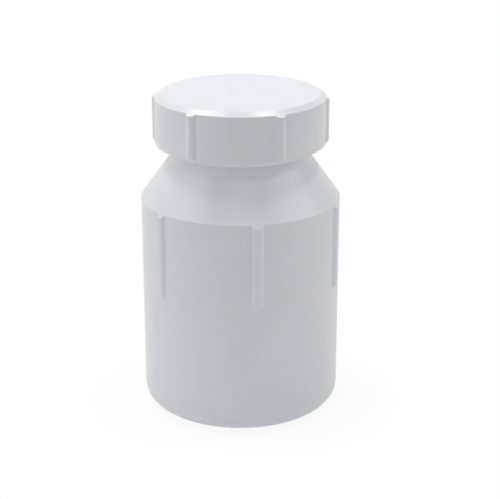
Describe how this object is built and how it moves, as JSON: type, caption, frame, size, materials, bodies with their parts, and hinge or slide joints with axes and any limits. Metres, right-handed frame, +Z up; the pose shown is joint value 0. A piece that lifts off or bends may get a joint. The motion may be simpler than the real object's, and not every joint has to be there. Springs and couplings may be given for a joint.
{
  "type": "reagent bottle",
  "caption": "Wide-mouth reagent bottle of opaque white fluoropolymer with half-round grip ribs, a conical shoulder and a ribbed screw cap that presses a sealing disc onto the mouth.",
  "frame": {"origin": "centre of the foot ring, on the plane that the bottle stands on", "axes": "+Z up along the bottle's axis; a grip rib of the bottle faces -Y, the front; X across"},
  "size_m": [0.07, 0.072, 0.1134],
  "materials": {
    "bottle_white": "satin, opaque, waxy",
    "cap_white": "satin, opaque, waxy",
    "disc_white": "satin, opaque, waxy"
  },
  "bodies": {
    "bottle": {"bottle": "bottle_white"},
    "disc": {"sealing_disc": "disc_white"},
    "cap": {"screw_cap": "cap_white"}
  },
  "joints": [
    {"name": "cap_rise", "type": "slide", "parent": "bottle", "child": "disc", "axis": [0, 0, 1], "range_m": [0, 0.014]},
    {"name": "cap_turn", "type": "hinge", "parent": "disc", "child": "cap", "pos_m": [0, 0, 0.1], "axis": [0, 0, 1], "range_deg": [0, 1260]}
  ],
  "couplings": [
    {"joint": "cap_rise", "follows": "cap_turn", "m_per_rad": 0.00063662}
  ]
}
